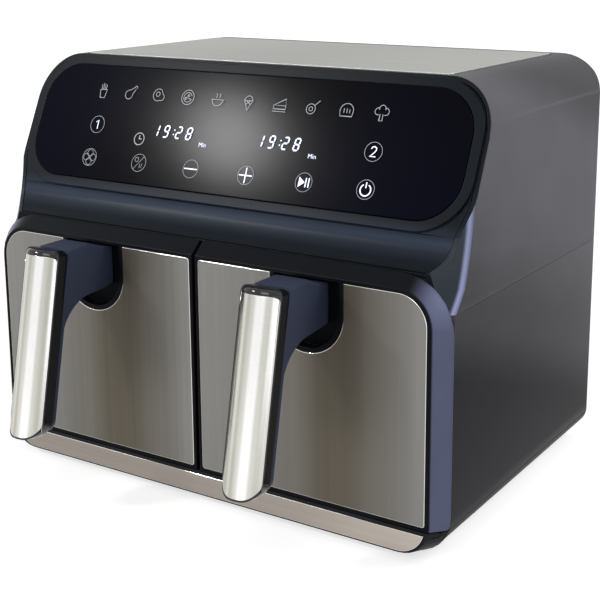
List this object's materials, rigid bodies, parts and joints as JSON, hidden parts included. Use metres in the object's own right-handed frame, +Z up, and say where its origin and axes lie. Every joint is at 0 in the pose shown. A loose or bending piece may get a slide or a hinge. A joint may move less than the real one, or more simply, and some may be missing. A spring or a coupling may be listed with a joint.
{
  "type": "air fryer",
  "caption": "Countertop air fryer with two side-by-side drawers, upright grips, a leaning touch panel, perforated crisper plates, ring heaters and top fans.",
  "frame": {"origin": "middle of the bounding box on the table, under the feet", "axes": "+X to the right seen from the front, drawers draw out along -Y, +Z up"},
  "size_m": [0.39, 0.3462, 0.309],
  "materials": {
    "base_plastic": "fine matte",
    "lower_plastic": "fine matte",
    "shell_plastic": "satin",
    "fascia_plastic": "gloss",
    "drawer_plastic": "satin",
    "arm_plastic": "satin",
    "grip_plastic": "gloss",
    "control_glass": "gloss, printed black on the back",
    "panel_steel": "brushed upright",
    "strip_steel": "brushed",
    "grip_steel": "polished, fine lengthwise brushing",
    "top_steel": "brushed",
    "sheet_steel": "aluminised sheet",
    "guard_wire": "plated wire",
    "heater_tube": "heat-darkened",
    "fan_aluminium": "pressed sheet",
    "motor_steel": "plated",
    "screw_steel": "plated",
    "nonstick": "non-stick coating",
    "silicone": "matt silicone",
    "foot_rubber": "matt",
    "circuit_board": "solder mask",
    "component_plastic": "moulded",
    "ceramic_body": "bare",
    "wire_sleeve": "silicone sleeve",
    "led_module": "white lit segments"
  },
  "bodies": {
    "housing": {"base_tray": "base_plastic", "rubber_feet": "foot_rubber", "bottom_trim_strip": "strip_steel", "lower_shell": "lower_plastic", "upper_shell": "shell_plastic", "top_plate": "top_steel", "front_fascia": "fascia_plastic", "control_glass": "control_glass", "display_board": "circuit_board", "digit_displays": "led_module", "rear_cover": "base_plastic", "outlet_grilles": "base_plastic", "cord_gland": "foot_rubber", "bay_frame": "base_plastic", "centre_divider": "base_plastic", "motor_deck": "sheet_steel", "power_board": "circuit_board", "board_parts": "component_plastic", "temperature_sensors": "sheet_steel", "thermal_fuses": "ceramic_body", "door_switches": "component_plastic", "wiring_harness": "wire_sleeve", "housing_screws": "screw_steel", "motor_screws": "screw_steel", "left_chamber": "sheet_steel", "left_air_guide": "sheet_steel", "left_heater": "heater_tube", "left_heater_guard": "guard_wire", "left_motor": "motor_steel", "right_chamber": "sheet_steel", "right_air_guide": "sheet_steel", "right_heater": "heater_tube", "right_heater_guard": "guard_wire", "right_motor": "motor_steel"},
    "left_drawer": {"left_drawer_front": "drawer_plastic", "left_drawer_inner": "base_plastic", "left_steel_panel": "panel_steel", "left_basket": "nonstick", "left_handle_arm": "arm_plastic", "left_grip_core": "grip_plastic", "left_grip_shell": "grip_steel", "left_handle_screws": "screw_steel"},
    "left_crisper": {"left_crisper_plate": "nonstick", "left_crisper_pads": "silicone"},
    "left_rotor": {"left_fan_shaft": "screw_steel", "left_convection_fan": "fan_aluminium", "left_cooling_fan": "component_plastic"},
    "right_drawer": {"right_drawer_front": "drawer_plastic", "right_drawer_inner": "base_plastic", "right_steel_panel": "panel_steel", "right_basket": "nonstick", "right_handle_arm": "arm_plastic", "right_grip_core": "grip_plastic", "right_grip_shell": "grip_steel", "right_handle_screws": "screw_steel"},
    "right_crisper": {"right_crisper_plate": "nonstick", "right_crisper_pads": "silicone"},
    "right_rotor": {"right_fan_shaft": "screw_steel", "right_convection_fan": "fan_aluminium", "right_cooling_fan": "component_plastic"}
  },
  "joints": [
    {"name": "left_drawer_slide", "type": "slide", "parent": "housing", "child": "left_drawer", "axis": [0, -1, 0], "range_m": [0, 0.225]},
    {"name": "left_crisper_lift", "type": "slide", "parent": "left_drawer", "child": "left_crisper", "axis": [0, 0, 1], "range_m": [0, 0.095]},
    {"name": "left_rotor_spin", "type": "hinge", "parent": "housing", "child": "left_rotor", "pos_m": [-0.0927, 0.03317, 0.2], "axis": [0, 0, 1], "continuous": true},
    {"name": "right_drawer_slide", "type": "slide", "parent": "housing", "child": "right_drawer", "axis": [0, -1, 0], "range_m": [0, 0.225]},
    {"name": "right_crisper_lift", "type": "slide", "parent": "right_drawer", "child": "right_crisper", "axis": [0, 0, 1], "range_m": [0, 0.095]},
    {"name": "right_rotor_spin", "type": "hinge", "parent": "housing", "child": "right_rotor", "pos_m": [0.0927, 0.03317, 0.2], "axis": [0, 0, 1], "continuous": true}
  ]
}
